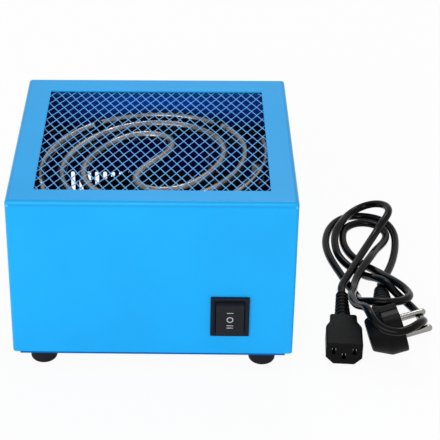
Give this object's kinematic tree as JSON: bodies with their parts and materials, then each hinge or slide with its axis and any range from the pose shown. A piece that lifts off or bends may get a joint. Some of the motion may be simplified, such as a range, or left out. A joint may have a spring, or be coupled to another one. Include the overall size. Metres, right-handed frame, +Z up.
{
  "type": "watch dryer",
  "caption": "Table-top warm-air dryer for watch parts: a folded blue sheet-metal case with a mesh top over a spiral heater and fan, a rocker switch and a detached power lead.",
  "frame": {"origin": "on the table, under the middle of the dryer's box without its lead", "axes": "+Z up, +X to the right seen from the front, the front panel faces -Y"},
  "size_m": [0.2863, 0.207, 0.132],
  "materials": {
    "blue_paint": "satin powder coat",
    "dark_blue_paint": "satin powder coat",
    "steel": "plain",
    "heater_sheath": "heat-tinted",
    "brass": "plain",
    "rubber": "matt",
    "black_plastic": "satin",
    "rocker_plastic": "satin",
    "fan_plastic": "matt",
    "white_plastic": "matt",
    "ceramic": "glazed",
    "phenolic": "matt",
    "bronze": "sintered",
    "lamination": "stacked sheet",
    "copper": "enamelled wire",
    "cord_black": "satin",
    "wire_brown": "satin",
    "wire_blue": "satin",
    "wire_green": "satin",
    "wire_red": "silicone"
  },
  "bodies": {
    "dryer": {"cover": "blue_paint", "mesh_grille": "blue_paint", "strip_left": "steel", "strip_right": "steel", "strip_front": "steel", "strip_rear": "steel", "base_tray": "dark_blue_paint", "foot_front_left": "rubber", "foot_front_right": "rubber", "foot_rear_left": "rubber", "foot_rear_right": "rubber", "foot_screws": "steel", "cover_screws": "steel", "m4_nuts": "steel", "fan_housing": "fan_plastic", "fan_spacers": "brass", "fan_screws": "steel", "bearing_lower": "bronze", "bearing_upper": "bronze", "stator_core": "lamination", "stator_coils": "copper", "heater_tube": "heater_sheath", "rail_front": "steel", "rail_rear": "steel", "rail_posts": "steel", "rail_screws": "steel", "heater_clips": "steel", "heater_seals": "ceramic", "heater_pins": "steel", "thermal_cutout": "phenolic", "terminal_block": "white_plastic", "terminal_screws": "brass", "earth_stud": "steel", "wire_live": "wire_brown", "wire_neutral": "wire_blue", "wire_earth": "wire_green", "wire_switched": "wire_brown", "wire_cutout": "wire_red", "wire_heater": "wire_red", "wire_fan": "cord_black", "switch_body": "black_plastic", "switch_tabs": "brass", "inlet_body": "black_plastic", "inlet_blades": "brass", "inlet_screws": "steel", "inlet_nuts": "steel", "power_cord": "cord_black", "connector_body": "black_plastic", "connector_relief": "black_plastic", "connector_contacts": "brass", "plug_body": "black_plastic", "plug_relief": "black_plastic", "plug_pins": "steel", "plug_earth_clips": "steel"},
    "rocker": {"rocker": "rocker_plastic", "rocker_plunger": "steel"},
    "lever": {"contact_lever": "brass"},
    "rotor": {"fan_rotor": "fan_plastic", "fan_shaft": "steel", "shaft_clip": "steel"}
  },
  "joints": [
    {"name": "rocker_tilt", "type": "hinge", "parent": "dryer", "child": "rocker", "pos_m": [0.052, -0.089, 0.044], "axis": [1, 0, 0], "range_deg": [-10, 10]},
    {"name": "lever_tilt", "type": "hinge", "parent": "dryer", "child": "lever", "pos_m": [0.052, -0.0763, 0.044], "axis": [1, 0, 0], "range_deg": [-8, 8]},
    {"name": "fan_spin", "type": "hinge", "parent": "dryer", "child": "rotor", "pos_m": [0, 0.0015, 0.0542], "axis": [0, 0, 1], "continuous": true}
  ],
  "couplings": [
    {"joint": "lever_tilt", "follows": "rocker_tilt", "ratio": -0.8}
  ]
}
